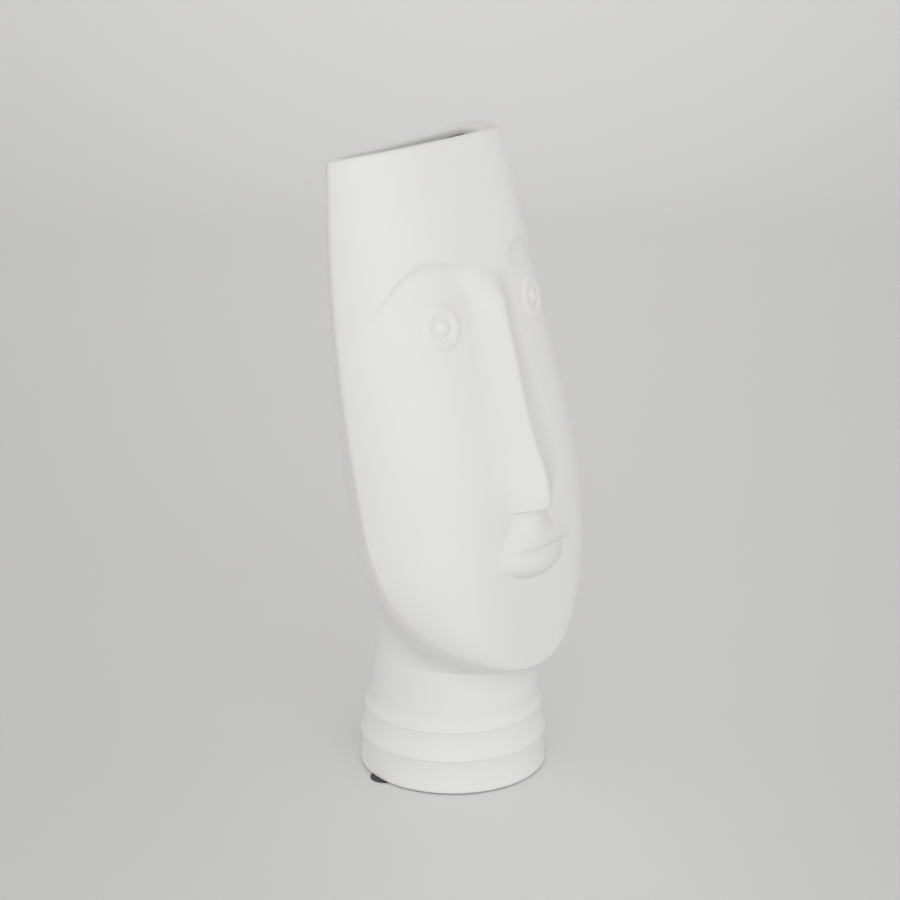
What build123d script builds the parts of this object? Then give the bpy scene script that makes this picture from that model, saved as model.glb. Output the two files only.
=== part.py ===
from build123d import *

import os
from math import cos, exp, pi, radians, sin, sqrt

import numpy as np

# Face vase: a hollow slip-cast head on a banded neck, standing on four stuck-on pads.
# Millimetres. The face looks along -Y, X runs across the face, Z is up.
# Heights are above the underside of the foot; the pads and their films lie below it.
# "forward" is the distance in front of the neck's axis, so a forward of 10 is Y = -10.

# Pads under the foot, each placed by how far its middle lies in from the foot's edge
PAD_DIAMETER = 12.5
PAD_THICKNESS = 0.5
FILM_THICKNESS = 0.1
PAD_INSET = 9.0
STRAY_PAD_INSET = 3.5
FRONT_PAD_ANGLE = 17.5

# Foot and band: two flared tiers below the neck, each with a lip that overhangs the next
FOOT_RADIUS = 41.0
FOOT_EDGE = 0.6
FOOT_HOLLOW = 1.0
FOOT_HOLLOW_Z = 9.0
LOWER_LIP_Z = 15.1
LOWER_LIP_PROUD = 0.2
BAND_TOP_INSET = 2.1
BAND_HOLLOW_INSET = 1.7
BAND_HOLLOW_Z = 21.0
LIP_DROP = 0.7

# Neck above the bands, whose own lip overhangs the band; it stands a little forward of the foot
UPPER_LIP_Z = 27.4
NECK_LIP = 2.5
NECK_LIP_SPREAD = 2.6
NECK_RADIUS = 34.8
NECK_SWELL = 2.0
NECK_WAIST_Z = 78.5
NECK_LEAN = 2.2
NECK_LEAN_RISE = 33.0
CHIN_COVE_HEIGHT = 12.0
CHIN_COVE_POWER = 2.2
JAW_COVE_ANGLE = 0.55
JAW_COVE_POWER = 1.5
JAW_BLEND = 12.0

# Heights of the head, and the slope of its rim in side view
CHIN_Z = 55.0
JAW_TOP_Z = 125.5
RIM_Z = 278.6
RIM_SLOPE = 0.235
CROWN_MARGIN = 9.0

# Half widths across the face
FACE_HALF_WIDTH = 65.5
CROWN_HALF_WIDTH = 50.0
WIDTH_TAPER_POWER = 2.75
JAW_POWER = 2.66

# Powers of the face's section, which is flat with blunt edges at the jaw and rounder at the brow
JAW_FRONT_POWER = 4.9
BROW_FRONT_POWER = 3.2
JAW_SIDE_POWER = 1.36
BROW_SIDE_POWER = 2.33
JAW_POWER_Z = 70.0
BROW_POWER_Z = 190.0

# Profiles in side view, each a line given by one forward value and a lean; the side edge is bowed
SIDE_EDGE_FORWARD = 2.6
SIDE_EDGE_LEAN = 0.168
SIDE_EDGE_BOW = 4.9
SIDE_BOW_Z = 105.0
SIDE_BOW_HEIGHT = 195.0
FOREHEAD_FORWARD = 25.8
FOREHEAD_LEVEL_Z = 188.5
FOREHEAD_LEAN = 0.273
CHIN_FORWARD = 46.25
CHIN_LEAN = 0.075
PROFILE_BEND = 1.5
BACK_FORWARD = -46.0
BACK_LEVEL_Z = 148.5
BACK_LEAN = 0.05
NAPE_HOLLOW = 6.0
NAPE_Z = 83.5
NAPE_SPREAD = 30.0

# Wall of the casting; slip gathers at the side edges and in the chin
WALL = 5.0
FLOOR_THICKNESS = 6.0
EDGE_FILL = 1.2
CHIN_FILL = 1.6

# Nose, its heights measured from the face behind it
NOSE_TOP_Z = 238.5
NOSE_BRIDGE_Z = 215.5
NOSE_BEND_Z = 165.5
NOSE_TIP_Z = 131.0
NOSE_BOTTOM_Z = 125.5
NOSE_BRIDGE_HEIGHT = 5.0
NOSE_BEND_HEIGHT = 6.5
NOSE_TIP_HEIGHT = 10.4
NOSE_BOTTOM_HEIGHT = 9.6
NOSE_TOP_HALF_WIDTH = 3.5
NOSE_BRIDGE_HALF_WIDTH = 7.5
NOSE_BEND_HALF_WIDTH = 12.0
NOSE_TIP_HALF_WIDTH = 13.0
NOSE_RIDGE_HALF_WIDTH = 1.2
NOSE_ROOT = 3.0

# Eyes: a round button inside a raised ring
EYE_Z = 206.5
EYE_HALF_SPACING = 32.9
EYE_BUTTON_DIAMETER = 6.4
EYE_BUTTON_HEIGHT = 1.8
EYE_RING_RADIUS = 8.2
EYE_RING_SECTION = 1.5

# Mouth
MOUTH_Z = 108.5
UPPER_MOUTH_HALF_WIDTH = 27.0
UPPER_MOUTH_HEIGHT = 5.2
LOWER_MOUTH_HALF_WIDTH = 20.0
LOWER_MOUTH_HEIGHT = 5.0
MOUTH_PROUD = 4.6
MOUTH_ROOT = 3.0

# Points along the section curves, and the levels of the sections as shares of each stretch
FRONT_POINTS = 17
BACK_POINTS = 25
NECK_SPLIT_ANGLE = 0.2
LIP_SHARES = (0.0, 0.45, 0.9, 1.5, 2.3)
FOOT_SHARES = (0.0, 0.13, 0.31, 0.53, 0.76, 1.0)
NECK_SHARES = (0.2, 0.42, 0.69)
COVE_SHARES = (1.0, 0.7, 0.45, 0.2)
JAW_SHARES = (0.01, 0.05, 0.1, 0.17, 0.26, 0.37, 0.5, 0.65, 0.82, 1.0)
HEAD_SHARES = (0.12, 0.25, 0.4, 0.55, 0.7, 0.85, 1.0)
TANGENT_STEP = 0.5

# Distance of a quarter round's middle from its two sides, as a share of its radius
ROUND_MIDDLE = 1.0 - sqrt(0.5)

CROWN_Z = RIM_Z + CROWN_MARGIN


def smooth_step(x):
    x = min(max(x, 0.0), 1.0)
    return x * x * (3.0 - 2.0 * x)


def front_line(z):
    """Middle of the face: a leaning forehead line eased into a steeper chin line."""
    forehead = FOREHEAD_FORWARD - FOREHEAD_LEAN * (z - FOREHEAD_LEVEL_Z)
    chin = CHIN_FORWARD - CHIN_LEAN * (z - CHIN_Z)
    half_gap = (forehead - chin) / 2.0
    return (forehead + chin) / 2.0 - sqrt(half_gap**2 + PROFILE_BEND**2)


def side_line(z):
    """Side edge above the jaw: a leaning line, bowed back in the middle of its length."""
    share = min(max((z - SIDE_BOW_Z) / SIDE_BOW_HEIGHT, 0.0), 1.0)
    bow = SIDE_EDGE_BOW * 4.0 * share * (1.0 - share)
    return SIDE_EDGE_FORWARD - SIDE_EDGE_LEAN * (z - JAW_TOP_Z) - bow


def fullness(share, z):
    """How much of the face's depth is left at a share of its half width: 1 in the middle, 0 at the edge."""
    blend = smooth_step((z - JAW_POWER_Z) / (BROW_POWER_Z - JAW_POWER_Z))
    front_power = JAW_FRONT_POWER + (BROW_FRONT_POWER - JAW_FRONT_POWER) * blend
    side_power = JAW_SIDE_POWER + (BROW_SIDE_POWER - JAW_SIDE_POWER) * blend
    return max(1.0 - abs(share) ** front_power, 0.0) ** (1.0 / side_power)


class Skin:
    """One surface of the casting, lying a given inset inside the outer one.

    A horizontal section is two curves that meet at the side edges: a blunt bow in front, and
    behind it a round neck low down that eases into a shallow bow high up.
    """

    def __init__(self, inset):
        self.inset = inset
        self.chin_z = CHIN_Z + CHIN_FILL * inset
        self.chin_forward = front_line(self.chin_z) - inset

    def jaw_sweep(self, z):
        """1 at the chin, falling to 0 where the jaw line meets the straight side edge."""
        rest = (JAW_TOP_Z - z) / (JAW_TOP_Z - self.chin_z)
        return min(max(rest, 0.0), 1.0) ** JAW_POWER

    def half_width(self, z):
        rise = max(z - CHIN_Z, 0.0) / (CROWN_Z - CHIN_Z)
        taper = max(1.0 - rise**WIDTH_TAPER_POWER, 0.0)
        full = CROWN_HALF_WIDTH + (FACE_HALF_WIDTH - CROWN_HALF_WIDTH) * taper
        return (full - EDGE_FILL * self.inset) * sqrt(1.0 - self.jaw_sweep(z))

    def front(self, z):
        return front_line(z) - self.inset

    def edge(self, z):
        """Side edge of the face, swept forward along the jaw to the chin."""
        return side_line(z) + (self.chin_forward - side_line(self.chin_z)) * self.jaw_sweep(z)

    def back(self, z):
        hollow = NAPE_HOLLOW * exp(-(((z - NAPE_Z) / NAPE_SPREAD) ** 2))
        return BACK_FORWARD - BACK_LEAN * (z - BACK_LEVEL_Z) + hollow + self.inset

    def neck(self, z):
        """Radius of the neck, which swells from its waist down and, outside, ends in a lip."""
        drop = max(NECK_WAIST_Z - z, 0.0) / (NECK_WAIST_Z - UPPER_LIP_Z)
        swollen = NECK_RADIUS + NECK_SWELL * min(drop, 1.0)
        if self.inset:
            return swollen - self.inset
        return swollen + NECK_LIP * exp(-(((z - UPPER_LIP_Z) / NECK_LIP_SPREAD) ** 2))

    def lean(self, z):
        """How far the middle of the neck lies forward of the foot's."""
        rise = min(max(z - UPPER_LIP_Z, 0.0) / NECK_LEAN_RISE, 1.0)
        return NECK_LEAN * sin(rise * pi / 2.0)

    def cove(self, neck, reach, away):
        """Radius of the neck where it swells out to a jaw edge that is an angle away."""
        return neck + reach * exp(-((away / JAW_COVE_ANGLE) ** JAW_COVE_POWER))

    def front_curve(self, z):
        """From the left side edge across the face to the right one, as (x, forward)."""
        edge, width = self.edge(z), self.half_width(z)
        depth = self.front(z) - edge
        shares = np.sin(np.linspace(-pi / 2, pi / 2, FRONT_POINTS))
        return [(width * share, edge + depth * fullness(share, z)) for share in shares]

    def back_curve(self, z):
        """From the right side edge round the back to the left one."""
        width, edge, back, neck = self.half_width(z), self.edge(z), self.back(z), self.neck(z)
        lean = self.lean(z)
        corner = np.arctan2(width, edge - lean)
        reach = np.hypot(width, edge - lean) - neck
        bow_start = self.chin_z + JAW_BLEND
        blend = smooth_step((z - bow_start) / (JAW_TOP_Z + JAW_BLEND - bow_start))
        points = []
        for s in np.linspace(1.0, -1.0, BACK_POINTS):
            away = (pi - corner) * (1.0 - abs(s))
            radius = self.cove(neck, reach, away)
            round_x = radius * sin(corner + away)
            round_forward = lean + radius * cos(corner + away)
            bow_x, bow_forward = width * abs(s), edge + (back - edge) * (1.0 - s * s)
            x = np.sign(s) * ((1.0 - blend) * round_x + blend * bow_x)
            points.append((x, (1.0 - blend) * round_forward + blend * bow_forward))
        return points

    def neck_curve(self, z, start, stop, count):
        """Neck below the chin between two angles from the front, with the cove of the chin."""
        neck, lean = self.neck(z), self.lean(z)
        rise = max(z - self.chin_z + CHIN_COVE_HEIGHT, 0.0) / CHIN_COVE_HEIGHT
        reach = (self.chin_forward - lean - neck) * rise**CHIN_COVE_POWER
        points = []
        for angle in np.linspace(start, stop, count):
            radius = self.cove(neck, reach, min(abs(angle), 2.0 * pi - abs(angle)))
            points.append((radius * sin(angle), lean + radius * cos(angle)))
        return points

    def section(self, z):
        """Closed section at height z, as a front and a back edge."""
        if z > self.chin_z:
            curves = self.front_curve(z), self.back_curve(z)
        else:
            curves = (
                self.neck_curve(z, -NECK_SPLIT_ANGLE, NECK_SPLIT_ANGLE, FRONT_POINTS),
                self.neck_curve(z, NECK_SPLIT_ANGLE, 2.0 * pi - NECK_SPLIT_ANGLE, BACK_POINTS),
            )
        return Wire([even_spline(at_height(curve, z)) for curve in curves])

    def loft(self, lowest):
        """Solid inside the skin, from the given low sections to the crown."""
        jaw = JAW_TOP_Z - self.chin_z
        head = CROWN_Z - JAW_TOP_Z
        heights = lowest + [self.chin_z - share * CHIN_COVE_HEIGHT for share in COVE_SHARES]
        heights += [self.chin_z + share * jaw for share in JAW_SHARES]
        heights += [JAW_TOP_Z + share * head for share in HEAD_SHARES]
        return Solid.make_loft([self.section(z) for z in heights])


def at_height(points, z):
    return [Vector(x, -forward, z) for x, forward in points]


def even_spline(points):
    """A curve with evenly spaced parameters, so that every section lofts alike."""
    steps = [i / (len(points) - 1) for i in range(len(points))]
    return Edge.make_spline(points, parameters=steps)


OUTER = Skin(0.0)
INNER = Skin(WALL)


# Solids of the casting
def make_foot():
    """Foot and band, turned about the foot's axis: two hollow flares, each under a lip."""
    lip_radius = FOOT_RADIUS + LOWER_LIP_PROUD
    band_top = FOOT_RADIUS - BAND_TOP_INSET
    under_lip = (lip_radius - LIP_DROP, LOWER_LIP_Z - LIP_DROP)
    with BuildPart() as foot:
        with BuildSketch(Plane.XZ):
            with BuildLine():
                Polyline((0, UPPER_LIP_Z), (0, 0), (FOOT_RADIUS - FOOT_EDGE, 0))
                ThreePointArc(
                    (FOOT_RADIUS - FOOT_EDGE, 0),
                    (FOOT_RADIUS - ROUND_MIDDLE * FOOT_EDGE, ROUND_MIDDLE * FOOT_EDGE),
                    (FOOT_RADIUS, FOOT_EDGE),
                )
                ThreePointArc((FOOT_RADIUS, FOOT_EDGE), (FOOT_RADIUS - FOOT_HOLLOW, FOOT_HOLLOW_Z), under_lip)
                Line(under_lip, (lip_radius, LOWER_LIP_Z))
                ThreePointArc(
                    (lip_radius, LOWER_LIP_Z),
                    (FOOT_RADIUS - BAND_HOLLOW_INSET, BAND_HOLLOW_Z),
                    (band_top, UPPER_LIP_Z),
                )
                Line((band_top, UPPER_LIP_Z), (0, UPPER_LIP_Z))
            make_face()
        revolve(axis=Axis.Z)
    return foot.part


def make_head():
    """Neck and head as one solid block, from the neck's lip to above the rim."""
    return OUTER.loft([UPPER_LIP_Z + share * NECK_LIP_SPREAD for share in LIP_SHARES])


def make_hollow():
    """Inside of the casting, from the floor of the foot to above the rim."""
    cove_z = INNER.chin_z - CHIN_COVE_HEIGHT
    foot = [FLOOR_THICKNESS + share * (UPPER_LIP_Z - FLOOR_THICKNESS) for share in FOOT_SHARES]
    neck = [UPPER_LIP_Z + share * (cove_z - UPPER_LIP_Z) for share in NECK_SHARES]
    return INNER.loft(foot + neck)


def face_point(x, z):
    """Point of the face's skin at a given x and height."""
    edge = OUTER.edge(z)
    depth = (OUTER.front(z) - edge) * fullness(x / OUTER.half_width(z), z)
    return Vector(x, -(edge + depth), z)


def face_plane(x, z):
    """Plane that lies on the face at a point, with its normal pointing out."""
    across = face_point(x + TANGENT_STEP, z) - face_point(x - TANGENT_STEP, z)
    upward = face_point(x, z + TANGENT_STEP) - face_point(x, z - TANGENT_STEP)
    return Plane(origin=face_point(x, z), x_dir=across, z_dir=across.cross(upward))


def make_nose():
    """Long wedge from the brow to a flat underside, rooted inside the wall."""
    stations = (
        (NOSE_TOP_Z, 0.0, NOSE_TOP_HALF_WIDTH),
        (NOSE_BRIDGE_Z, NOSE_BRIDGE_HEIGHT, NOSE_BRIDGE_HALF_WIDTH),
        (NOSE_BEND_Z, NOSE_BEND_HEIGHT, NOSE_BEND_HALF_WIDTH),
        (NOSE_TIP_Z, NOSE_TIP_HEIGHT, NOSE_TIP_HALF_WIDTH),
        (NOSE_BOTTOM_Z, NOSE_BOTTOM_HEIGHT, NOSE_TIP_HALF_WIDTH),
    )
    wires = []
    for z, height, width in stations:
        face = OUTER.front(z)
        half = [(width, face - NOSE_ROOT), (width, face), (NOSE_RIDGE_HALF_WIDTH, face + height)]
        outline = half + [(-x, forward) for x, forward in reversed(half)]
        wires.append(Wire.make_polygon(at_height(outline, z), close=True))
    return Solid.make_loft(wires, ruled=True)


def make_lip(z, half_width, half_height):
    """One lip: a long low dome, half sunk in the face."""
    dome = scale(Sphere(1.0), by=(half_width, MOUTH_PROUD + MOUTH_ROOT, half_height))
    return Pos(0, -(OUTER.front(z) - MOUTH_ROOT), z) * dome


def make_eye(side):
    """Round button inside a raised ring, both lying on the face."""
    on_face = face_plane(side * EYE_HALF_SPACING, EYE_Z)
    radius = EYE_BUTTON_DIAMETER / 2.0
    ball = (radius**2 + EYE_BUTTON_HEIGHT**2) / (2.0 * EYE_BUTTON_HEIGHT)
    button = on_face * Pos(0, 0, EYE_BUTTON_HEIGHT - ball) * Sphere(ball)
    ring = on_face * Torus(EYE_RING_RADIUS, EYE_RING_SECTION)
    return [button, ring]


def make_body():
    """The casting: one hollow piece from the foot to the slanting rim."""
    head = make_head() + make_nose()
    head += make_lip(MOUTH_Z + UPPER_MOUTH_HEIGHT / 2.0, UPPER_MOUTH_HALF_WIDTH, UPPER_MOUTH_HEIGHT)
    head += make_lip(MOUTH_Z - LOWER_MOUTH_HEIGHT, LOWER_MOUTH_HALF_WIDTH, LOWER_MOUTH_HEIGHT)
    for side in (-1, 1):
        head = head + make_eye(side)
    rim = Plane(origin=(0, 0, RIM_Z), z_dir=(0, RIM_SLOPE, 1))
    return split(head, bisect_by=rim, keep=Keep.BOTTOM) + make_foot() - make_hollow()


def disc(thickness, place, z):
    x, y = place
    to_top = (Align.CENTER, Align.CENTER, Align.MAX)
    return Pos(x, y, z) * Cylinder(PAD_DIAMETER / 2.0, thickness, align=to_top)


def make_feet():
    """Round pads hung from their adhesive films at quarter turns; the left one strays outwards."""
    pieces = {}
    insets = (PAD_INSET, STRAY_PAD_INSET, PAD_INSET, PAD_INSET)
    for turn, (side, inset) in enumerate(zip(("front", "left", "back", "right"), insets)):
        angle = radians(FRONT_PAD_ANGLE + 90.0 * turn)
        radius = FOOT_RADIUS - inset
        place = (-radius * sin(angle), -radius * cos(angle))
        pieces["foot_film_" + side] = disc(FILM_THICKNESS, place, 0.0)
        pieces["foot_pad_" + side] = disc(PAD_THICKNESS, place, -FILM_THICKNESS)
    return pieces


pieces = {"vase_body": make_body(), **make_feet()}
middle = pieces["vase_body"].bounding_box().center()
onto_table = Pos(0, -middle.Y, PAD_THICKNESS + FILM_THICKNESS)
os.makedirs("parts", exist_ok=True)
for name, piece in pieces.items():
    export_step(onto_table * piece, f"parts/{name}.step")
print("casting, cubic centimetres:", round(pieces["vase_body"].volume / 1000.0, 1))
print("neck axis at Y =", round(-middle.Y, 3))
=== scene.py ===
"""Face vase: a hollow ceramic head that leans back on a banded neck, on four stuck-on pads.

Metres, in the frame of the solids. The face looks along -Y, X runs across it and Z is up.
Heights in the sizes below are above the underside of the foot, and "forward" is the distance in
front of the neck's axis.
"""

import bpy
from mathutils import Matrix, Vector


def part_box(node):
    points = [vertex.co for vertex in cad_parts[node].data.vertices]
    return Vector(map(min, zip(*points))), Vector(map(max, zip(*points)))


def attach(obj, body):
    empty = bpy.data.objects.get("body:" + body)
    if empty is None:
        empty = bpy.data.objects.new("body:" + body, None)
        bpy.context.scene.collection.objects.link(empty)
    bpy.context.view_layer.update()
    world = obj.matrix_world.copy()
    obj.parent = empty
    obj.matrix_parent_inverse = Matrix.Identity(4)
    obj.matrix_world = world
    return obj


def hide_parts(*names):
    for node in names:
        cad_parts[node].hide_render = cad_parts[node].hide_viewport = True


bl_info = {
    "name": "Face vase",
    "version": (1, 0, 0),
    "blender": (4, 5, 0),
    "location": "View3D > Sidebar > Face vase",
    "description": "Builds a leaning ceramic face vase with its pads on a pale studio floor",
    "category": "Add Mesh",
}

from math import atan, cos, pi, radians, sin

import bpy
import numpy as np
from bpy.props import FloatProperty, FloatVectorProperty, IntProperty, PointerProperty
from bpy.types import Operator, Panel, PropertyGroup
from mathutils import Matrix, Vector

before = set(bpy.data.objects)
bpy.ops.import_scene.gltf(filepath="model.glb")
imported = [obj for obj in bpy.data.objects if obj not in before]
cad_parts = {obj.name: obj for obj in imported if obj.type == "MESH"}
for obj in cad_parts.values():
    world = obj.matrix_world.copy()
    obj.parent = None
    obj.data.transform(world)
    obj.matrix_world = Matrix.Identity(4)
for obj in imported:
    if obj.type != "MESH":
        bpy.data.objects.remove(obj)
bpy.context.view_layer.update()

MM = 0.001
BODY = "root"
PAD_SIDES = ("front", "left", "back", "right")

# Angle of the inside's neck that carries the face's columns, and the dish of the floor
NECK_SPLIT = 0.2
FLOOR_DISH = 0.3 * MM
# Steps that find the rim's height, and the most of the wall that one of its rounds may take
RIM_STEPS = 6
RIM_ROUND_MOST = 0.48
# Easing of the creases: rounds, the largest move and its spread in rows of points
EASE_ROUNDS, EASE_MOST, EASE_SPREAD = 8, 0.5, 2.2
FAR_FROM_CREASE = 99.0
# Depth inside the rim at which the painted shade of the hollow starts and is full, and how ragged its
# edge is
INSIDE_SHADE_START, INSIDE_SHADE_FULL, INSIDE_SHADE_RAGGED = 3.5 * MM, 4.0 * MM, 0.25 * MM


def middle_of(node):
    low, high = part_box(node)
    return (low + high) / 2.0


# The neck's axis runs midway between the front and the back pad
NECK_AXIS = (middle_of("foot_pad_front") + middle_of("foot_pad_back")) / 2.0
FOOT_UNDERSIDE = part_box("foot_film_front")[1].z


# Sizes and colours that a user would change
def length(name, description, millimetres):
    return FloatProperty(
        name=name, description=description, default=millimetres * MM, unit="LENGTH", precision=4
    )


def number(name, description, value):
    return FloatProperty(name=name, description=description, default=value, precision=3)


def turn(name, description, degrees):
    return FloatProperty(
        name=name, description=description, default=radians(degrees), unit="ROTATION", precision=4
    )


def count(name, description, value):
    return IntProperty(name=name, description=description, default=value, min=3)


def colour(name, description, value):
    return FloatVectorProperty(
        name=name, description=description, default=value, subtype="COLOR", size=3, min=0.0, max=1.0
    )


class HeadSizes(PropertyGroup):
    chin_z: length("Chin height", "Height of the lowest point of the face", 55.0)
    jaw_top_z: length("Jaw height", "Height where the jaw line meets the straight side edge", 125.5)
    rim_z: length("Rim height", "Height of the rim's plane over the neck's axis", 278.6)
    rim_slope: number("Rim slope", "Rise of the rim towards the face, per unit of depth", 0.235)
    crown_margin: length("Crown margin", "How far the taper goes on above the rim", 9.0)
    face_half_width: length("Face half width", "Half the width of the face at the jaw", 65.45)
    crown_half_width: length("Crown half width", "Half the width at the crown", 50.0)
    taper_power: number("Taper power", "How late the head narrows towards the crown", 2.75)
    jaw_power: number("Jaw power", "Fullness of the jaw line", 2.66)
    jaw_front_power: number("Jaw front power", "Flatness of the face at the jaw", 4.9)
    brow_front_power: number("Brow front power", "Flatness of the face at the brow", 3.2)
    jaw_side_power: number("Jaw side power", "Depth of the face's side wall at the jaw", 1.36)
    brow_side_power: number("Brow side power", "Depth of the face's side wall at the brow", 2.33)
    jaw_power_z: length("Jaw power height", "Height up to which the jaw's powers hold", 70.0)
    brow_power_z: length("Brow power height", "Height from which the brow's powers hold", 190.0)
    side_forward: length("Side edge", "Forward of the side edge at the jaw's height", 2.6)
    side_lean: number("Side lean", "Backward lean of the side edge", 0.168)
    side_bow: length("Side bow", "How far the side edge bows back", 4.9)
    side_bow_z: length("Side bow height", "Height at which the bow starts", 105.0)
    side_bow_rise: length("Side bow rise", "Height of the whole bow", 195.0)
    forehead_forward: length("Forehead", "Forward of the forehead at its level", 25.8)
    forehead_z: length("Forehead level", "Height at which the forehead is measured", 188.5)
    forehead_lean: number("Forehead lean", "Backward lean of the forehead", 0.273)
    chin_forward: length("Chin", "Forward of the chin line at the chin", 46.25)
    chin_lean: number("Chin lean", "Backward lean of the lower face", 0.075)
    profile_bend: length("Profile bend", "Ease between forehead and chin lines", 1.5)
    back_forward: length("Back", "Forward of the back of the head at its level", -46.0)
    back_z: length("Back level", "Height at which the back is measured", 148.5)
    back_lean: number("Back lean", "Backward lean of the back", 0.05)
    nape_hollow: length("Nape hollow", "Depth of the hollow above the nape", 6.0)
    nape_z: length("Nape height", "Height of the hollow above the nape", 83.5)
    nape_spread: length("Nape spread", "Half height of the hollow above the nape", 30.0)
    neck_radius: length("Neck radius", "Radius of the neck at its waist", 34.8)
    neck_waist_z: length("Neck waist", "Height of the neck's waist", 78.5)
    neck_swell: length("Neck swell", "How much the neck widens from its waist down", 2.0)
    neck_lip: length("Neck lip", "How far the neck's lip stands out at its bottom", 2.5)
    lip_z: length("Neck lip height", "Height of the neck's lip over the band", 27.4)
    lip_spread: length("Neck lip spread", "Height over which the lip runs out", 2.6)
    neck_lean: length("Neck lean", "How far the neck stands forward of the foot", 2.2)
    lean_rise: length("Lean rise", "Height over which the neck comes forward", 33.0)
    cove_height: length("Chin cove height", "Height of the cove below the chin", 12.0)
    cove_power: number("Chin cove power", "Hollowness of the cove below the chin", 2.2)
    cove_angle: number("Jaw cove angle", "Turn over which the jaw runs into the neck", 0.55)
    cove_ease: number("Jaw cove ease", "Softness of the cove where it leaves the jaw", 1.5)
    jaw_blend: length("Jaw blend", "Rise over which the neck starts to turn into the back", 12.0)
    wall: length("Wall", "Thickness of the casting", 5.0)
    edge_fill: number("Edge fill", "Wall at the side edges, as a share of the wall", 1.2)
    chin_fill: number("Chin fill", "Wall in the chin, as a share of the wall", 1.6)
    floor: length("Floor", "Thickness of the casting's floor", 6.0)
    corner_fill: length("Corner fill", "Added wall at the rim's sides", 6.0)
    corner_round: number("Corner round", "How much rounder the inside is at the rim", 1.4)
    corner_rise: length("Corner rise", "Height below the rim over which the corners fill", 40.0)
    lip_round: length("Rim round", "Radius of the rim's edges", 2.4)
    rim_tilt: number("Rim tilt", "Rise of the rim to the right, per unit of width", -0.014)
    rim_rise: number("Rim rise", "Rise of the back's right, per metre and distance squared", 1.75)
    rim_turn: length("Rim turn", "Forward at which that rise starts", -4.0)
    rim_run: length("Rim run", "Depth over which that rise comes in", 25.0)


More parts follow.
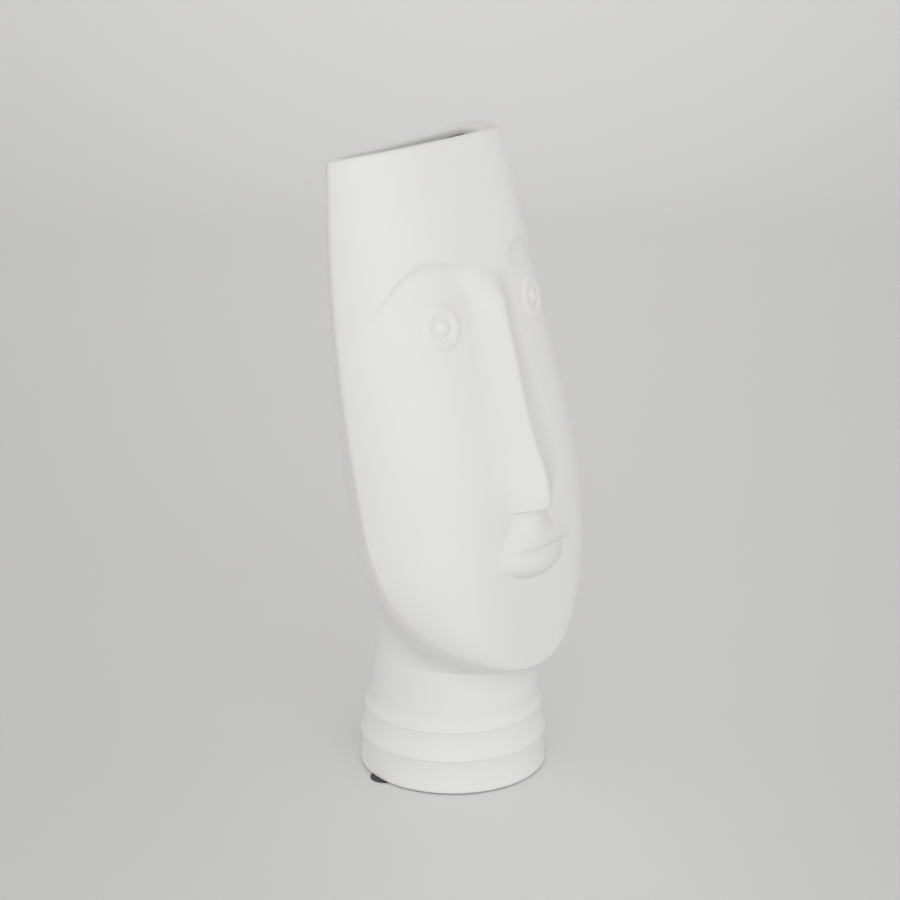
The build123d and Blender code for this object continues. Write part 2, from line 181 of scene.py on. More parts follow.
class FaceCarving(PropertyGroup):
    brow_z: length("Brow height", "Height of the top of the brow arch", 233.6)
    brow_x: length("Brow place", "Distance of the arch's top from the middle", 32.0)
    brow_out: length("Brow outer reach", "Length of the arch towards the temple", 24.2)
    brow_in: length("Brow inner reach", "Length of the arch towards the nose", 26.3)
    brow_fall_out: length("Brow outer fall", "Fall of the arch towards the temple", 19.0)
    brow_fall_in: length("Brow inner fall", "Fall of the arch towards the nose", 9.0)
    brow_power_out: number("Brow outer power", "How late the arch falls towards the temple", 2.5)
    brow_power_in: number("Brow inner power", "How late the arch falls towards the nose", 1.8)
    brow_depth: length("Brow depth", "How far the eye's field lies behind the brow", 2.2)
    brow_step: length("Brow step", "Height of the step under the brow", 5.0)
    brow_soft: length("Brow softness", "Round of the step's upper edge", 0.8)
    brow_fade: length("Brow fade", "Height over which the field comes forward again", 16.0)
    brow_edge: length("Brow edge", "Half width at which the arch has run out", 61.0)
    brow_end: length("Brow end", "Length over which the arch runs out", 6.0)
    brow_start: length("Brow start", "Distance from the middle at which the step begins", 2.0)
    brow_grow: length("Brow growth", "Length over which the step comes in", 16.0)
    brow_right: length("Right brow start", "How much further out the right step begins", 14.0)
    nose_top_z: length("Nose top", "Height where the ridge leaves the forehead", 229.0)
    nose_rise: length("Nose rise", "Height over which the ridge comes up", 18.0)
    ridge_forward: length("Ridge", "Forward of the ridge at its level", 32.2)
    ridge_z: length("Ridge level", "Height at which the ridge is measured", 187.4)
    ridge_lean: number("Ridge lean", "Backward lean of the ridge", 0.275)
    ball: length("Ball", "How far the ball of the nose stands out of the ridge's line", 2.8)
    ball_z: length("Ball height", "Height of the ball of the nose", 139.0)
    ball_spread: length("Ball spread", "Half height of the ball of the nose", 13.0)
    ridge_round: length("Ridge round", "Radius of the ridge at the tip", 0.9)
    ridge_soft: length("Ridge softness", "Added radius of the ridge at the bridge", 2.6)
    ridge_soft_z: length("Ridge softness height", "Height from which the ridge softens", 163.5)
    ridge_soft_rise: length("Ridge softness rise", "Height over which it softens", 60.0)
    bridge_half: length("Bridge half width", "Half width of the nose at its bridge", 9.5)
    wing_half: length("Wing half width", "Half width of the nose at its wings", 16.5)
    wing_z: length("Wing height", "Height of the widest part of the nose", 139.0)
    bridge_z: length("Bridge height", "Height of the narrow bridge", 215.0)
    wing_tuck: length("Wing tuck", "How far the wings draw in at the bottom", 3.5)
    nose_round: number("Nose round", "Added fullness of the nose's section at the tip", 0.5)
    nose_fillet: number("Nose fillet", "Softness of the flank's foot, per half width", 0.5)
    hollow_x: length("Hollow place", "Place of the hollow beside the upper lip, under the nose", 16.5)
    hollow_z: length("Hollow height", "Height of that hollow", 119.5)
    hollow_half: length("Hollow half width", "Half width of that hollow", 6.0)
    hollow_rise: length("Hollow half height", "Half height of that hollow", 4.5)
    hollow_depth: length("Hollow depth", "Depth of that hollow", 3.0)
    nose_bottom_z: length("Nose bottom", "Height of the flat underside", 124.9)
    nose_edge: length("Nose edge", "Height over which the underside is cut", 1.5)
    tip_round: length("Tip round", "Height over which the tip draws back", 5.0)
    tip_draw: number("Tip draw", "Share by which the tip draws back", 0.12)
    eye_z: length("Eye height", "Height of the eyes", 207.2)
    eye_x: length("Eye place", "Distance of an eye from the middle", 33.0)
    button_radius: length("Button radius", "Radius of the eye's button", 3.2)
    button_height: length("Button height", "Height of the eye's button", 1.6)
    ring_radius: length("Ring radius", "Radius of the ring round the button", 7.2)
    ring_half: length("Ring half width", "Half width of the ring", 1.8)
    ring_height: length("Ring height", "Height of the ring", 1.1)
    mouth_z: length("Mouth height", "Height of the middle of the mouth's line", 107.3)
    smile: number("Smile", "Rise of the line per metre and distance squared", 0.8)
    muzzle_proud: length("Muzzle", "How far the muzzle stands out", 4.7)
    muzzle_half: length("Muzzle half width", "Half width of the muzzle at the mouth", 35.0)
    muzzle_top_half: length("Muzzle top half width", "Half width of the muzzle under the nose", 14.0)
    muzzle_top_z: length("Muzzle top", "Height at which the muzzle starts to run out", 125.5)
    muzzle_fade: length("Muzzle fade", "Height over which the muzzle runs out", 9.0)
    muzzle_power: number("Muzzle power", "How soon the muzzle falls away sideways", 2.0)
    mouth_tilt: number("Mouth tilt", "Rise of the mouth's line to the right, per unit of width", -0.07)
    line_half: length("Line half", "Half length of the mouth's sharp line", 19.0)
    line_fade: length("Line fade", "Length over which that line runs out", 12.0)
    upper_soft: length("Upper softness", "How much softer the upper lip's edge is at its ends", 9.0)
    muzzle_flare: number("Muzzle flare", "How late the muzzle widens towards the mouth", 1.7)
    lip_lap: length("Lip lap", "How far each lip reaches past the line", 0.8)
    upper_roll: length("Upper lip roll", "Height over which the upper lip rolls in", 3.5)
    lower_roll: length("Lower lip roll", "Height over which the lower lip rolls in", 4.0)
    lower_proud: length("Lower lip", "How far the lower lip stands out", 5.6)
    lower_half: length("Lower lip half width", "Half width of the lower lip", 24.5)
    lower_power: number("Lower lip power", "How late the lower lip falls away sideways", 1.25)
    lower_z: length("Lower lip bottom", "Height of the lower lip's bottom edge", 94.8)
    lower_curl: number("Lower lip curl", "Rise of that edge per metre and distance squared", 11.0)
    lower_x: length("Lower lip place", "Middle of the lower lip, which sits a little to the left", -2.0)
    lower_tilt: number("Lower lip tilt", "Rise of that edge to the right, per unit of width", -0.09)
    lower_rise: length("Lower lip rise", "Height over which the lip comes out", 6.5)
    lower_hollow: number("Lower lip hollow", "How late the lip comes out over its rise", 1.4)
    dent_depth: length("Dent", "Depth of the dent under the lower lip", 0.5)
    dent_z: length("Dent height", "Height of the dent under the lower lip", 91.5)
    dent_half: length("Dent half width", "Half width of the dent", 13.0)
    dent_rise: length("Dent half height", "Half height of the dent", 4.0)


class FootSizes(PropertyGroup):
    radius: length("Foot radius", "Radius of the foot", 41.0)
    edge: length("Foot edge", "Radius of the foot's lower edge", 0.6)
    hollow: length("Foot hollow", "Depth of the foot's hollow flare", 1.0)
    hollow_z: length("Foot hollow height", "Height of the deepest place of that flare", 9.0)
    lip_z: length("Foot lip height", "Height of the foot's lip", 15.1)
    lip_proud: length("Foot lip", "How far the lip stands out past the foot's edge", 0.2)
    lip_drop: length("Foot lip drop", "Height of the lip's underside", 0.7)
    band_hollow: length("Band hollow", "Inset of the band's hollow flare", 1.7)
    band_hollow_z: length("Band hollow height", "Height at which that inset is measured", 21.0)
    band_top: length("Band top", "Inset of the band under the neck's lip", 2.1)
    band_cove: length("Band cove", "Depth of the cove under the neck's lip", 0.2)
    band_cove_rise: length("Band cove rise", "Height of the cove under the neck's lip", 1.2)


class MeshDensity(PropertyGroup):
    face_half_columns: count("Face columns", "Columns on each half of the face", 95)
    face_rows: count("Face rows", "Rows from the jaw to the rim", 236)
    back_half_columns: count("Back columns", "Columns on each half of the back", 36)
    neck_rows: count("Neck rows", "Rows from the collar to the chin", 40)
    inner_rows: count("Inner rows", "Rows of the inside wall", 34)
    round_rows: count("Round rows", "Rows of each small round", 5)
    pad_columns: count("Pad columns", "Columns round a pad", 48)


class Finishes(PropertyGroup):
    ceramic: colour("Ceramic", "Colour of the matte ceramic", (0.81, 0.812, 0.802))
    ceramic_warm: colour("Ceramic, warm", "Colour where the slip is thin", (0.79, 0.785, 0.765))
    rubber: colour("Rubber", "Colour of the pads", (0.05, 0.05, 0.053))
    film: colour("Film", "Colour of the adhesive", (0.04, 0.04, 0.042))
    # Painted shade: the dark colour laid on the inside below the rim, standing for the shade in the
    # hollow
    inside_shade: colour("Clay", "Colour of the bare clay inside", (0.13, 0.12, 0.11))
    # Painted light: the paler paper colour that the painted pool of light round the vase blends to
    painted_light_paper: colour("Backdrop", "Colour of the paper round the vase", (0.84, 0.842, 0.845))
    floor: colour("Floor", "Colour of the studio floor", (0.70, 0.702, 0.705))


class StudioView(PropertyGroup):
    azimuth: turn("Azimuth", "Turn of the view from the front of the face", -54.5)
    foot_drop: turn("Drop to the foot", "Angle down from the camera to the foot's middle", 24.9)
    lens: number("Lens", "Focal length in millimetres on a 36 mm sensor", 96.0)
    distance: length("Distance", "Depth from the camera to the foot's middle", 1075.4)


# Small formulas
def smooth_step(x):
    """0 below 0, 1 above 1, and 3x^2 - 2x^3 between."""
    x = np.clip(x, 0.0, 1.0)
    return x * x * (3.0 - 2.0 * x)


def eased_least(a, b, bend):
    """The lesser of two lines, rounded where they cross: their mean, less the root of the sum of
    the squares of half their gap and of the bend."""
    return (a + b) / 2.0 - np.sqrt(((a - b) / 2.0) ** 2 + bend**2)


def dome(x):
    """1 at 0, falling as 1 - x^2 to 0 at 1."""
    return np.clip(1.0 - x * x, 0.0, None)


def crowded(low, high, total, places):
    """Values from low to high that lie closer together near each (middle, spread, weight): equal
    shares of the sum of a steady density and one fourth-power bell for each place."""
    fine = np.linspace(low, high, 4001)
    density = np.ones_like(fine)
    for middle, spread, weight in places:
        density += weight * np.exp(-(((fine - middle) / spread) ** 4))
    shares = np.concatenate([[0.0], np.cumsum((density[1:] + density[:-1]) / 2.0)])
    return np.interp(np.linspace(0.0, shares[-1], total), shares, fine)


# The casting's skins
class Skin:
    """One surface of the casting, lying an inset inside the outer one.

    A horizontal section is a blunt bow in front and, behind it, a round neck low down that eases
    into a shallow bow high up; the two meet at the side edges.
    """

    def __init__(self, head, inset=0.0, split=0.0):
        self.head, self.inset, self.split = head, inset, split
        self.chin_z = head.chin_z + head.chin_fill * inset
        self.chin_forward = self.front(self.chin_z)

    def front(self, z):
        """Middle of the face: a leaning forehead line eased into a steeper chin line."""
        h = self.head
        forehead = h.forehead_forward - h.forehead_lean * (z - h.forehead_z)
        chin = h.chin_forward - h.chin_lean * (z - h.chin_z)
        return eased_least(forehead, chin, h.profile_bend) - self.inset

    def sweep(self, z):
        """1 at the chin, falling as a power to 0 at the top of the jaw."""
        rest = (self.head.jaw_top_z - z) / (self.head.jaw_top_z - self.chin_z)
        return np.clip(rest, 0.0, 1.0) ** self.head.jaw_power

    def full_width(self, z):
        """Half width with no jaw: crown plus the rest times 1 less a power of the height."""
        h = self.head
        rise = np.clip(z - h.chin_z, 0.0, None) / (h.rim_z + h.crown_margin - h.chin_z)
        taper = np.clip(1.0 - rise**h.taper_power, 0.0, None)
        full = h.crown_half_width + (h.face_half_width - h.crown_half_width) * taper
        return full - h.edge_fill * self.inset - h.corner_fill * self.filled(z)

    def filled(self, z):
        """How far the inside's corners are filled: nothing outside and low down, 1 at the rim."""
        if not self.inset:
            return 0.0
        return smooth_step((z - self.head.rim_z + self.head.corner_rise) / self.head.corner_rise)

    def half_width(self, z):
        """Half width times the root of 1 less the jaw's sweep."""
        return self.full_width(z) * np.sqrt(1.0 - self.sweep(z))

    def side(self, z):
        """Side edge above the jaw: a leaning line, less a bow 4 s (1 - s) over its rise."""
        h = self.head
        share = np.clip((z - h.side_bow_z) / h.side_bow_rise, 0.0, 1.0)
        bow = 4.0 * h.side_bow * share * (1.0 - share)
        return h.side_forward - h.side_lean * (z - h.jaw_top_z) - bow

    def edge(self, z):
        """Side edge, swept forward along the jaw to the chin."""
        return self.side(z) + (self.chin_forward - self.side(self.chin_z)) * self.sweep(z)

    def fullness(self, share, z):
        """Share of the face's depth that is left at a share of its half width: (1 - share^a)^(1/b),
        with both powers eased from the jaw's to the brow's."""
        h = self.head
        blend = smooth_step((z - h.jaw_power_z) / (h.brow_power_z - h.jaw_power_z))
        front = h.jaw_front_power + (h.brow_front_power - h.jaw_front_power) * blend
        front = front - h.corner_round * self.filled(z)
        side = h.jaw_side_power + (h.brow_side_power - h.jaw_side_power) * blend
        return np.clip(1.0 - np.clip(share, 0.0, 1.0) ** front, 0.0, None) ** (1.0 / side)

    def ahead(self, share, z):
        """Forward of the plain face at a share of its half width."""
        edge = self.edge(z)
        return edge + (self.front(z) - edge) * self.fullness(share, z)

    def back(self, z):
        """Middle of the back: a leaning line with a bell-shaped hollow over the nape."""
        h = self.head
        hollow = h.nape_hollow * np.exp(-(((z - h.nape_z) / h.nape_spread) ** 2))
        return h.back_forward - h.back_lean * (z - h.back_z) + hollow + self.inset

    def neck(self, z):
        """Neck radius: a waist that swells downwards and, outside, ends in a bell-shaped lip."""
        h = self.head
        drop = np.clip((h.neck_waist_z - z) / (h.neck_waist_z - h.lip_z), 0.0, 1.0)
        swollen = h.neck_radius + h.neck_swell * drop
        if self.inset:
            return swollen - self.inset
        return swollen + h.neck_lip * np.exp(-(((z - h.lip_z) / h.lip_spread) ** 2))

    def lean(self, z):
        """How far the neck's middle lies forward of the foot's: a quarter sine of the rise."""
        h = self.head
        return h.neck_lean * np.sin(np.clip((z - h.lip_z) / h.lean_rise, 0.0, 1.0) * pi / 2.0)

    def cove(self, z):
        """How far the jaw edge stands out of the neck: the edge's own reach above the chin, and a
        power of the rise through the cove below it."""
        h = self.head
        neck, lean = self.neck(z), self.lean(z)
        rise = np.clip((z - self.chin_z + h.cove_height) / h.cove_height, 0.0, 1.0)
        below = (self.chin_forward - lean - neck) * rise**h.cove_power
        above = np.hypot(self.half_width(z), self.edge(z) - lean) - neck
        return np.where(z > self.chin_z, above, below)

    def round_neck(self, z, angle, away):
        """Neck at an angle from the front, swelling to the jaw edge that is an angle away."""
        h = self.head
        fade = np.exp(-((np.abs(away) / h.cove_angle) ** h.cove_ease))
        radius = self.neck(z) + self.cove(z) * fade
        return radius * np.sin(angle), self.lean(z) + radius * np.cos(angle)

    def behind(self, s, z):
        """Neck and back, from the right edge (s = 1) round to the left one (s = -1): the round neck
        blended with a bow x = width s, forward = edge + (back - edge)(1 - s^2)."""
        h = self.head
        width, edge = self.half_width(z), self.edge(z)
        corner = np.where(z > self.chin_z, np.arctan2(width, edge - self.lean(z)), 0.0)
        start = np.maximum(corner, self.split)
        angle = start + (pi - start) * (1.0 - np.abs(s))
        round_x, round_forward = self.round_neck(z, angle, angle - corner)
        bow_z = self.chin_z + h.jaw_blend
        blend = smooth_step((z - bow_z) / (h.jaw_top_z + h.jaw_blend - bow_z))
        x = np.sign(s) * ((1.0 - blend) * round_x + blend * width * np.abs(s))
        bow = edge + (self.back(z) - edge) * (1.0 - s * s)
        return x, (1.0 - blend) * round_forward + blend * bow

    def face_at(self, across, z):
        """Place of the plain face at a signed share of its full half width."""
        return across * self.full_width(z), self.ahead(np.abs(across), z)

    def under_rim(self, place, columns):
        """Heights one round below the rim, found in steps; place gives x and forward of the wall's
        columns at such heights."""
        z = np.full_like(columns, self.head.rim_z)
        for _ in range(RIM_STEPS):
            z = self.rim_height(*place(columns, z)) - self.head.lip_round
        return z

    def rim_height(self, x, forward):
        """Height of the rim: a slanting plane whose back comes up to the right with a square."""
        h = self.head
        share = smooth_step((h.rim_turn - forward) / h.rim_run)
        rise = h.rim_rise * np.clip(x, 0.0, None) ** 2 * share
        return h.rim_z + h.rim_slope * forward + h.rim_tilt * x + rise


# Relief of the face, as a distance forward of the plain skin at (x, z)
def nose_relief(carving, skin, x, z):
    """Wedge: a rounded triangle across, its foot eased with a square, as high as the ridge with its
    ball stands out of the face; it comes out of the forehead and is cut off below. Also its share."""
    c = carving
    ball = c.ball * np.exp(-(((z - c.ball_z) / c.ball_spread) ** 2))
    height = c.ridge_forward - c.ridge_lean * (z - c.ridge_z) + ball - skin.front(z)
    height = height * smooth_step((c.nose_top_z - z) / c.nose_rise)
    near_tip = np.clip(1.0 - (z - c.nose_bottom_z) / c.tip_round, 0.0, 1.0)
    height = height * (1.0 - c.tip_draw * near_tip**2)
    to_bridge = smooth_step((z - c.wing_z) / (c.bridge_z - c.wing_z))
    to_bottom = smooth_step((c.wing_z - z) / (c.wing_z - c.nose_bottom_z))
    half = c.wing_half - (c.wing_half - c.bridge_half) * to_bridge - c.wing_tuck * to_bottom
    round_off = c.ridge_round + c.ridge_soft * smooth_step((z - c.ridge_soft_z) / c.ridge_soft_rise)
    full = 1.0 + c.nose_round * to_bottom
    slope = 1.0 - np.clip((np.sqrt(x * x + round_off**2) - round_off) / half, 0.0, 2.0) ** full
    eased = np.clip(slope + c.nose_fillet, 0.0, None) ** 2 / (4.0 * c.nose_fillet)
    share = np.where(slope > c.nose_fillet, slope, eased)
    share = share * smooth_step((z - c.nose_bottom_z) / c.nose_edge)
    return height * share, np.clip(share, 0.0, 1.0)


def brow_relief(carving, x, z):
    """Step under an arch that falls as a power to either side: the field drops back steeply under the
    arch, eases out as 1 - (1 - u)^2 and comes forward again lower down."""
    c = carving
    aside = np.abs(x) - c.brow_x
    reach = np.where(aside > 0.0, c.brow_out, c.brow_in)
    fall = np.where(aside > 0.0, c.brow_fall_out, c.brow_fall_in)
    power = np.where(aside > 0.0, c.brow_power_out, c.brow_power_in)
    arch = c.brow_z - fall * (np.abs(aside) / reach) ** power
    under = np.clip(arch - z, 0.0, None)
    depth = np.clip((np.hypot(under, c.brow_soft) - c.brow_soft) / c.brow_step, 0.0, 1.0)
    step = dome(1.0 - depth) * (1.0 - smooth_step((under - c.brow_step) / c.brow_fade))
    ends = smooth_step((c.brow_edge - np.abs(x)) / c.brow_end)
    start = c.brow_start + np.where(x > 0.0, c.brow_right, 0.0)
    return -c.brow_depth * step * ends * smooth_step((np.abs(x) - start) / c.brow_grow)


def eye_relief(carving, x, z):
    """A round-topped button and a bell-shaped ring about each eye's middle."""
    c = carving
    away = np.hypot(np.abs(x) - c.eye_x, z - c.eye_z)
    button = c.button_height * np.sqrt(dome(away / c.button_radius))
    ring = c.ring_height * np.exp(-(((away - c.ring_radius) / c.ring_half) ** 2))
    return button + ring


def rolled(x):
    """Quarter round: 0 below 0, the root of 1 - (1 - x)^2, and 1 above 1."""
    return np.sqrt(dome(1.0 - np.clip(x, 0.0, 1.0)))


def mouth_relief(carving, x, z):
    """A muzzle that widens from the nose down and rolls in at the mouth's line as the upper lip, a
    lower lip that rolls in at the line above and runs out along an arc below, a dent under it and a
    hollow beside the upper lip."""
    c = carving
    line = c.mouth_z + c.mouth_tilt * x + c.smile * x * x
    roll = c.upper_roll + c.upper_soft * smooth_step((np.abs(x) - c.line_half) / c.line_fade)
    share = np.clip((c.muzzle_top_z - z) / (c.muzzle_top_z - c.mouth_z), 0.0, 1.0)
    half = c.muzzle_top_half + (c.muzzle_half - c.muzzle_top_half) * share**c.muzzle_flare
    upper = c.muzzle_proud * dome(x / half) ** c.muzzle_power * rolled((z - line + c.lip_lap) / roll)
    upper = upper * (1.0 - smooth_step((z - c.muzzle_top_z) / c.muzzle_fade))
    low = c.lower_z + c.lower_tilt * x + c.lower_curl * x * x
    lower = c.lower_proud * dome((x - c.lower_x) / c.lower_half) ** c.lower_power
    lower = lower * rolled((line + c.lip_lap - z) / c.lower_roll)
    lower = lower * rolled((z - low) / c.lower_rise) ** c.lower_hollow
    dent = np.exp(-((x / c.dent_half) ** 2) - ((z - c.dent_z) / c.dent_rise) ** 2)
    hollow = np.exp(-(((x - c.hollow_x) / c.hollow_half) ** 2) - ((z - c.hollow_z) / c.hollow_rise) ** 2)
    return np.maximum(upper, lower) - c.dent_depth * dent - c.hollow_depth * hollow


def carve(carving, skin, x, z):
    """All relief: the brow's field with the eyes on it, and the higher of nose and mouth."""
    nose, share = nose_relief(carving, skin, x, z)
    field = brow_relief(carving, x, z) * (1.0 - share) + eye_relief(carving, x, z)
    return field + np.maximum(nose, mouth_relief(carving, x, z))


# The casting's mesh
def quads_between(index):
    """Quads between neighbouring rows and columns of an array of vertex numbers."""
    corners = index[:-1, :-1], index[:-1, 1:], index[1:, 1:], index[1:, :-1]
    return np.stack(corners, -1).reshape(-1, 4)


def fan(ring, pole, outward):
    """Triangles from a closed ring of vertex numbers to a pole; outward rings run away from it."""
    first, second = (ring[1:], ring[:-1]) if outward else (ring[:-1], ring[1:])
    return np.stack([np.full(len(first), pole), first, second], -1)


def ease_edges(points, quads, weight, rounds):
    """Rounds the creases: each point moves towards the mean of its neighbours by its weight."""
    pairs = np.concatenate([quads[:, [i, (i + 1) % 4]] for i in range(4)])
    degree = np.maximum(np.bincount(pairs[:, 0], minlength=len(points)), 1)
    for _ in range(rounds):
        sums = [np.bincount(pairs[:, 0], points[pairs[:, 1], k], len(points)) for k in range(3)]
        points = points + weight[:, None] * (np.stack(sums, -1) / degree[:, None] - points)
    return points


def bowed(z, low, middle, high):
    """Radius at heights z, on the parabola through three points given as (radius, height)."""
    (r0, z0), (r1, z1), (r2, z2) = low, middle, high
    at_low = r0 * (z - z1) * (z - z2) / ((z0 - z1) * (z0 - z2))
    at_middle = r1 * (z - z0) * (z - z2) / ((z1 - z0) * (z1 - z2))
    return at_low + at_middle + r2 * (z - z0) * (z - z1) / ((z2 - z0) * (z2 - z1))


def foot_profile(foot, top, rows):
    """Foot from its middle out and up, as radius and height: a flat underside, a quarter round, a
    hollow flare that ends in a lip, and a hollow band with a small cove under the neck's lip."""
    f = foot
    quarter = np.linspace(0.0, pi / 2, rows)
    under = np.linspace(0.15, 1.0, 6) * (f.radius - f.edge)
    lip = f.radius + f.lip_proud
    below = crowded(f.edge, f.lip_z - f.lip_drop, 16, [(f.lip_z, 2.0 * MM, 3.0)])
    flare = bowed(below, (f.radius, f.edge), (f.radius - f.hollow, f.hollow_z),
                  (lip - f.lip_drop, f.lip_z - f.lip_drop))
    above = crowded(f.lip_z, top, 26, [(f.lip_z, 1.0 * MM, 4.0), (top, 1.5 * MM, 4.0)])
    band = bowed(above, (lip, f.lip_z), (f.radius - f.band_hollow, f.band_hollow_z),
                 (f.radius - f.band_top, top))
    band = band - f.band_cove * np.clip(1.0 - (top - above) / f.band_cove_rise, 0.0, 1.0) ** 2
    radius = np.concatenate([under, f.radius - f.edge + f.edge * np.sin(quarter[1:-1]), flare, band])
    height = np.concatenate([np.zeros_like(under), f.edge - f.edge * np.cos(quarter[1:-1]), below, above])
    return radius, height


def face_surface(outer, carving, across, share):
    """Face as rows by columns: a column is a share of the full half width, a row a share of the
    height from the jaw's edge to the rim; the relief is added forward."""
    h = outer.head
    aside = np.abs(across)
    low = h.jaw_top_z - (h.jaw_top_z - outer.chin_z) * (1.0 - across**2) ** (1.0 / h.jaw_power)
    top = outer.under_rim(outer.face_at, across)
    z = low + (top - low) * share[:, None]
    x = outer.full_width(z) * across
    part = aside / np.sqrt(np.maximum(1.0 - outer.sweep(z), 1e-12))
    part[0] = 1.0
    inward = smooth_step(3.0 * outer.fullness(part, z))
    return x, outer.ahead(part, z) + carve(carving, outer, x, z) * inward, z


def back_surface(outer, face_low, s, share, neck_z):
    """Neck and back as rows by columns: level rows up to the chin, rows that follow the jaw's edge
    at their ends and are even behind, and rows that tilt to the rim."""
    h = outer.head
    top = outer.under_rim(outer.behind, s)
    near = smooth_step((np.abs(s) - 0.55) / 0.45)
    even = np.linspace(outer.chin_z, h.jaw_top_z, len(face_low))[:, None]
    jaw = even + (face_low[:, None] - even) * near
    crown = h.jaw_top_z + (top - h.jaw_top_z) * share[1:, None]
    z = np.concatenate([neck_z[:, None] + np.zeros_like(s), jaw, crown])
    x, forward = outer.behind(s[None, :] + np.zeros_like(z), z)
    return x, forward, z


def inner_surface(inner, across, s, shares):
    """Inside wall as rows by columns, from under the rim down to the floor: the face's columns,
    then the back's. Below the chin the face's columns spread over the split of the neck."""
    h = inner.head
    aside, back = np.abs(across), s[1:-1]
    top_front = inner.under_rim(inner.face_at, across)
    top_back = inner.under_rim(inner.behind, back)
    z = top_front + (h.floor - top_front) * shares[:, None]
    turned = inner.split * np.arcsin(across) / (pi / 2)
    neck_x, neck_forward = inner.round_neck(z, turned + np.zeros_like(z), turned)
    width = np.maximum(inner.half_width(z), inner.neck(z) * sin(inner.split))
    x = np.where(z > inner.chin_z, width * across, neck_x)
    forward = np.where(z > inner.chin_z, inner.ahead(aside, z), neck_forward)
    z_back = top_back + (h.floor - top_back) * shares[:, None]
    x_back, forward_back = inner.behind(back + np.zeros_like(z_back), z_back)
    joined = (x, x_back), (forward, forward_back), (z, z_back)
    return tuple(np.concatenate(pair, axis=1) for pair in joined)


def rim_surface(outer, outer_loop, inner_loop, rows):
    """Rim as rows by columns, from the outer wall over two rounds to the inner wall: each point lies
    a share of the way across, at the rim's height, lowered by the round at either edge."""
    head = outer.head
    (x0, f0), (x1, f1) = outer_loop, inner_loop
    thick = np.hypot(x1 - x0, f1 - f0)
    quarter = np.linspace(0.0, pi / 2, rows)[:, None]
    first = np.minimum(head.lip_round / thick, RIM_ROUND_MOST) * (1.0 - np.cos(quarter))
    last = 1.0 - first[::-1]
    share = np.concatenate([first, last])
    sink = np.concatenate([1.0 - np.sin(quarter), (1.0 - np.sin(quarter))[::-1]]) * head.lip_round
    x, forward = x0 + (x1 - x0) * share, f0 + (f1 - f0) * share
    return x, forward, outer.rim_height(x, forward) - sink


def to_points(x, forward, z):
    """Points in the frame of the solids, from values about the neck's axis."""
    placed = NECK_AXIS.x + x, NECK_AXIS.y - forward, FOOT_UNDERSIDE + z
    return np.stack(placed, -1).reshape(-1, 3)


def row_shares(head, carving, rows):
    """Shares of the face's height, closer together at the jaw's edge and about its features."""
    def share_at(z):
        return (z - head.chin_z) / (head.rim_z - head.chin_z)

    c = carving
    return crowded(0.0, 1.0, rows, [
        (0.0, 0.012, 6.0),
        (share_at(c.mouth_z), 0.06, 1.8),
        (share_at(c.nose_bottom_z + c.nose_edge / 2.0), 0.012, 7.0),
        (share_at(c.eye_z), 0.055, 2.0),
        (share_at(c.brow_z) - 0.03, 0.05, 0.8),
    ])


def crease_weight(total, face_index, low_index, chin_row):
    """How near each point is to the face's edge, as a bell of the rows of points between."""
    rings = np.full(total, FAR_FROM_CREASE)
    rows, columns = np.indices(face_index.shape)
    rings[face_index] = np.minimum(rows, np.minimum(columns, face_index.shape[1] - 1 - columns))
    rows, columns = np.indices(low_index.shape)
    from_end = np.minimum(columns, low_index.shape[1] - 1 - columns)
    np.minimum.at(rings, low_index, from_end + np.clip(chin_row - rows, 0, None))
    return EASE_MOST * np.exp(-((rings / EASE_SPREAD) ** 2))


